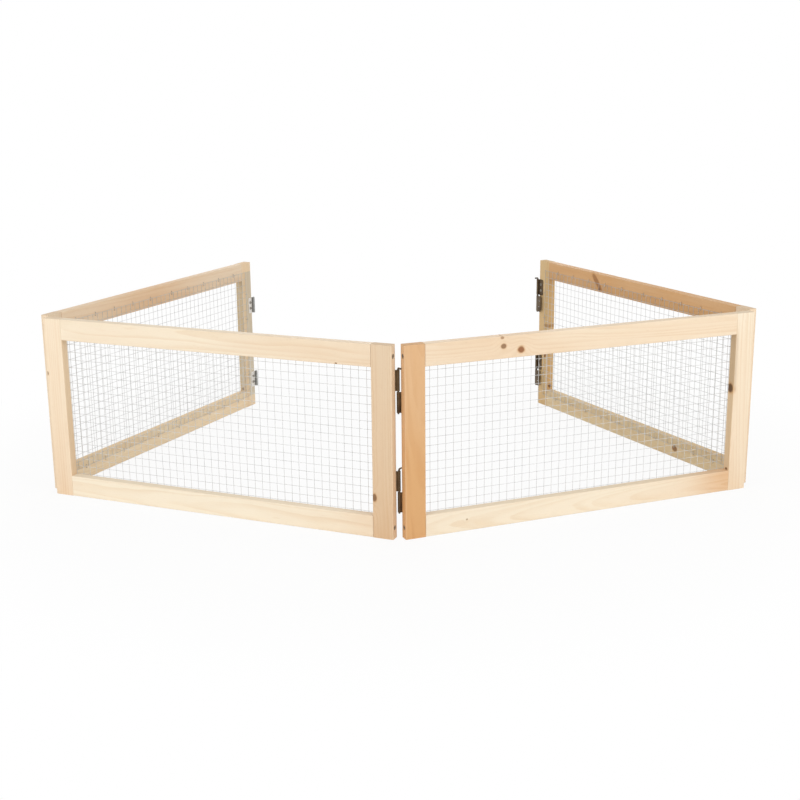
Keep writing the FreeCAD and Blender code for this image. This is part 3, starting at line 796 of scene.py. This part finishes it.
shaded_leaf_steel = steel("hinge_leaf", LEAF_COAT_IN_SHADE, LEAF_STAIN, metal=0.7, rough=0.44, grain=0.006)
lit_leaf = lit_leaf_steel("lit_hinge_leaf")
shaded_pin_steel = steel("hinge_pin", PIN_COAT_IN_SHADE, PIN_STAIN, metal=0.75, rough=0.40, grain=0.004)
for name, node in frame["nodes"].items():
    if name.endswith("_leaf"):
        dress(node, lit_leaf if name.startswith("left_end") else shaded_leaf_steel)
    if name.endswith("_pin"):
        dress(node, shaded_pin_steel)

# Hinge screws
# Round-headed screws of zinc-plated steel, with cross recesses.
# There are two for each leaf, driven through it into the stile.
LEAF_SCREW_RADIUS = 0.0015
LEAF_SCREW_LENGTH = 0.0120
LEAF_HEAD_RADIUS = 0.0028
LEAF_HEAD_HEIGHT = 0.0018
LEAF_HEAD_ROUND = 0.0015
LEAF_CROSS = (0.0030, 0.0007, 0.0009)
LEAF_SCREW_INSET = 0.0065
LEAF_SCREW_SPACING = 0.012
LEAF_THICKNESS = 0.001
LEAF_MIDDLE = 0.01675
HINGE_MIDDLES = (0.072, 0.228)
LEAF_SCREW_COAT = (0.34, 0.31, 0.27, 1.0)
LEAF_SCREW_STAIN = (0.20, 0.18, 0.15, 1.0)


def hinge_screw():
    """Screw pointing down -Z, with the foot of its head at Z 0."""
    head = begin(bpy.ops.mesh.primitive_cylinder_add, vertices=SCREW_SIDES, radius=LEAF_HEAD_RADIUS,
                 depth=LEAF_HEAD_HEIGHT, location=(0.0, 0.0, LEAF_HEAD_HEIGHT / 2))
    points = head.data.vertices
    pick(head, "EDGE", lambda edge: all(points[i].co.z > LEAF_HEAD_HEIGHT / 2 for i in edge.vertices))
    bpy.ops.mesh.bevel(offset=LEAF_HEAD_ROUND, segments=5)
    bpy.ops.object.mode_set(mode="OBJECT")
    cut_cross(head, LEAF_HEAD_HEIGHT, LEAF_CROSS)
    return with_shank(head, 0.0, LEAF_SCREW_RADIUS, LEAF_SCREW_LENGTH)


screw_steel = steel("zinc_screw", LEAF_SCREW_COAT, LEAF_SCREW_STAIN, metal=0.8, rough=0.42, grain=0.002)
model = hinge_screw()
inwards = Matrix.Rotation(-math.pi / 2, 4, "X")
for panel, place in PANELS.items():
    spots = []
    for middle in HINGE_MIDDLES:
        for spot_x, leaf_z in ((LEAF_SCREW_INSET, middle - LEAF_MIDDLE),
                               (PANEL_LENGTH - LEAF_SCREW_INSET, middle + LEAF_MIDDLE)):
            for spot_z in (leaf_z - LEAF_SCREW_SPACING / 2, leaf_z + LEAF_SCREW_SPACING / 2):
                spot = Matrix.Translation((spot_x, WOOD_THICKNESS + LEAF_THICKNESS, spot_z))
                spots.append(place @ spot @ inwards)
    screws = copies(model, spots, panel + "_round_head_hinge_screws")
    dress(screws, screw_steel)
    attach(screws, panel + "_panel")
    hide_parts(panel + "_hinge_screws")
remove(model)

# Floor, light and camera
# A plain white floor that runs into a white surround, with soft lamps at the front, behind and above.
# The camera stands in front of the front corner and looks slightly down on the run.
WHITE = (1.0, 1.0, 1.0, 1.0)
FLOOR_SIZE = 60.0
FLOOR_DROP = 0.0002
FLOOR_COLOUR = (0.9, 0.9, 0.9, 1.0)
FLOOR_ROUGHNESS = 0.9
FLOOR_GLOSS = 0.1
FLOOR_SHADE = 0.10
SHADE_REACH = (0.60, 0.95)
SURROUND_LIGHT = 0.595
CAMERA_PLACE = (0.01253, -2.23553, 0.70786)
CAMERA_LENS = 58.226
CAMERA_PITCH = 14.949
CAMERA_TURN = 0.305
CAMERA_ROLL = -0.560
CAMERA_SIGHT = 200.0

floor = begin(bpy.ops.mesh.primitive_plane_add, size=FLOOR_SIZE, location=(0.0, 0.0, -FLOOR_DROP))
floor.name = "floor"


def seen_rays(tree):
    """1 for what the camera sees, straight or in metal and glass."""
    rays = Socket(tree)
    straight = rays.node("LightPath", output="Is Camera Ray")
    shining = rays.node("LightPath", output="Is Glossy Ray")
    through = rays.node("LightPath", output="Is Transmission Ray")
    return straight.maths("MAXIMUM", shining.maths("MAXIMUM", through))


material, shader, coords = new_finish("white_floor")
shader.inputs["Base Color"].default_value = FLOOR_COLOUR
shader.inputs["Roughness"].default_value = FLOOR_ROUGHNESS
shader.inputs["Specular IOR Level"].default_value = FLOOR_GLOSS
tree = material.node_tree
white = Socket(tree).node("Emission", inputs={"Color": WHITE, "Strength": 1.0})
lit = Socket(tree, shader.outputs[0])
seen = seen_rays(tree)
from_middle = coords.node("VectorMath", {"operation": "LENGTH"}, {0: coords}, "Value")
shade = (1 - from_middle.rise(*SHADE_REACH)) * FLOOR_SHADE
mixed = white.node("MixShader", inputs={0: seen * (1 - shade), 1: lit, 2: white})
tree.links.new(mixed.output, tree.nodes["Material Output"].inputs["Surface"])
dress(floor, material)

world = bpy.data.worlds.new("white_surround")
bpy.context.scene.world = world
world.use_nodes = True
tree = world.node_tree
seen = seen_rays(tree)
strength = seen * (1 - SURROUND_LIGHT) + SURROUND_LIGHT
strength.feed(tree.nodes["Background"], "Strength")
tree.nodes["Background"].inputs["Color"].default_value = WHITE


def soft_light(name, power, width, at, aim):
    """Square lamp that the camera doesn't see: its power in watts, its width, place and aim in metres."""
    lamp = bpy.data.lights.new(name, "AREA")
    lamp.energy = power
    lamp.size = width
    light = bpy.data.objects.new(name, lamp)
    bpy.context.scene.collection.objects.link(light)
    light.location = at
    light.rotation_euler = (Vector(aim) - Vector(at)).to_track_quat("-Z", "Y").to_euler()
    light.visible_camera = False


soft_light("left_softbox", power=24.0, width=1.3, at=(-1.95, -2.05, 0.85), aim=(-0.2, -0.2, 0.15))
soft_light("right_softbox", power=27.0, width=1.3, at=(1.95, -2.05, 0.85), aim=(0.2, -0.2, 0.15))
soft_light("back_softbox", power=24.0, width=1.6, at=(0.0, 3.2, 0.95), aim=(0.0, 0.1, 0.15))
soft_light("top_softbox", power=6.0, width=1.6, at=(0.0, 0.0, 2.4), aim=(0.0, 0.0, 0.15))

camera = bpy.data.objects.new("camera", bpy.data.cameras.new("camera"))
bpy.context.scene.collection.objects.link(camera)
camera.data.lens = CAMERA_LENS
camera.data.clip_end = CAMERA_SIGHT
look = Matrix.Rotation(math.radians(CAMERA_TURN), 4, "Z")
look = look @ Matrix.Rotation(math.radians(90.0 - CAMERA_PITCH), 4, "X")
look = look @ Matrix.Rotation(math.radians(CAMERA_ROLL), 4, "Z")
camera.matrix_world = Matrix.Translation(CAMERA_PLACE) @ look
bpy.context.scene.camera = camera
bpy.context.scene.view_settings.view_transform = "Standard"
